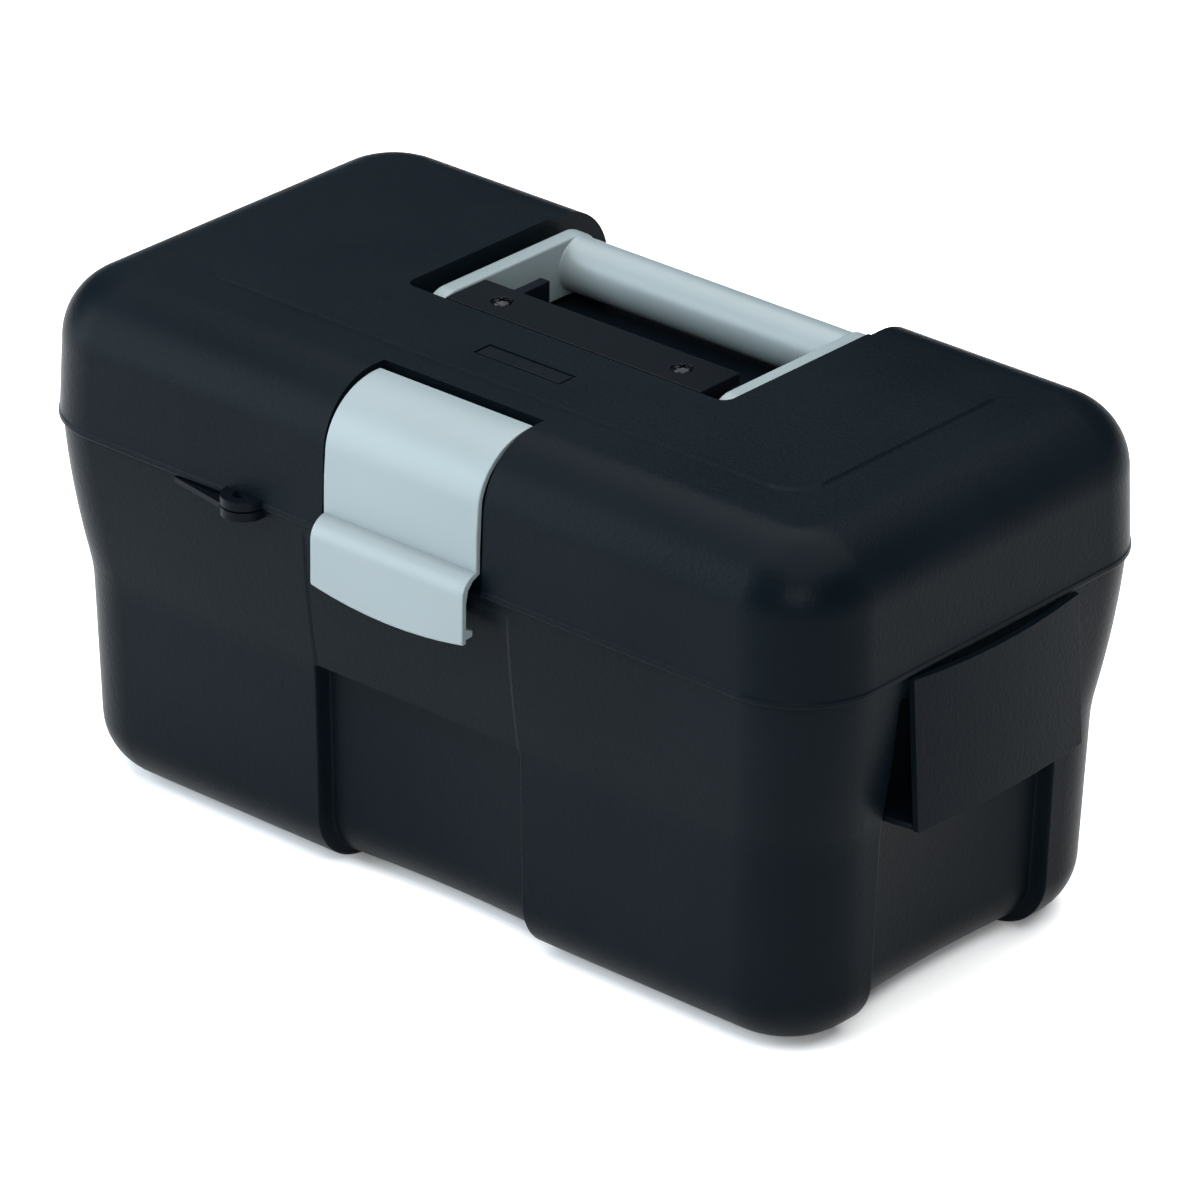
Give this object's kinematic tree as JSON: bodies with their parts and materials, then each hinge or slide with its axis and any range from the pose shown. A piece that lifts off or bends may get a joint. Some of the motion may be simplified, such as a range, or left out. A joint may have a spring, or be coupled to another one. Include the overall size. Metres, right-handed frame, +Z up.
{
  "type": "toolbox with tray",
  "caption": "Plastic hand toolbox with hinged lid, front latch, folding carry handle and a lift-out divided tray over the tool well.",
  "frame": {"origin": "on the floor under the middle of the closed box", "axes": "+Z up, +X along the box's length, -Y towards the front with the latch"},
  "size_m": [0.343, 0.19, 0.1777],
  "materials": {
    "black_plastic": "fine moulded grain",
    "gloss_black_plastic": "smooth gloss",
    "light_grey_plastic": "satin",
    "dark_grey_plastic": "satin",
    "zinc_steel": "zinc plated",
    "black_steel": "black oxide"
  },
  "bodies": {
    "box": {"body_shell": "black_plastic", "hinge_pin_left": "zinc_steel", "hinge_pin_right": "zinc_steel"},
    "lid": {"lid_shell": "black_plastic", "latch_pin": "zinc_steel", "handle_pin_left": "zinc_steel", "handle_pin_right": "zinc_steel", "handle_retainer": "gloss_black_plastic", "retainer_screw_left": "black_steel", "retainer_screw_right": "black_steel"},
    "latch": {"latch": "light_grey_plastic"},
    "handle": {"handle_arm_left": "light_grey_plastic", "handle_arm_right": "light_grey_plastic", "handle_grip": "light_grey_plastic"},
    "tray": {"tray_shell": "dark_grey_plastic", "tray_divider_1": "light_grey_plastic", "tray_divider_2": "light_grey_plastic", "tray_divider_3": "light_grey_plastic", "tray_divider_4": "light_grey_plastic", "tray_handle": "light_grey_plastic"}
  },
  "joints": [
    {"name": "lid_hinge", "type": "hinge", "parent": "box", "child": "lid", "pos_m": [0, 0.0916, 0.127], "axis": [-1, 0, 0], "range_deg": [0, 105]},
    {"name": "latch_hinge", "type": "hinge", "parent": "lid", "child": "latch", "pos_m": [0, -0.0675, 0.1703], "axis": [-1, 0, 0], "range_deg": [0, 95]},
    {"name": "handle_hinge", "type": "hinge", "parent": "lid", "child": "handle", "pos_m": [0, 0.001, 0.164], "axis": [1, 0, 0], "range_deg": [0, 90]},
    {"name": "tray_lift", "type": "slide", "parent": "box", "child": "tray", "axis": [0, 0, 1], "range_m": [0, 0.0917]}
  ],
  "couplings": [
    {"joint": "tray_lift", "follows": "lid_hinge", "m_per_rad": 0.05}
  ]
}
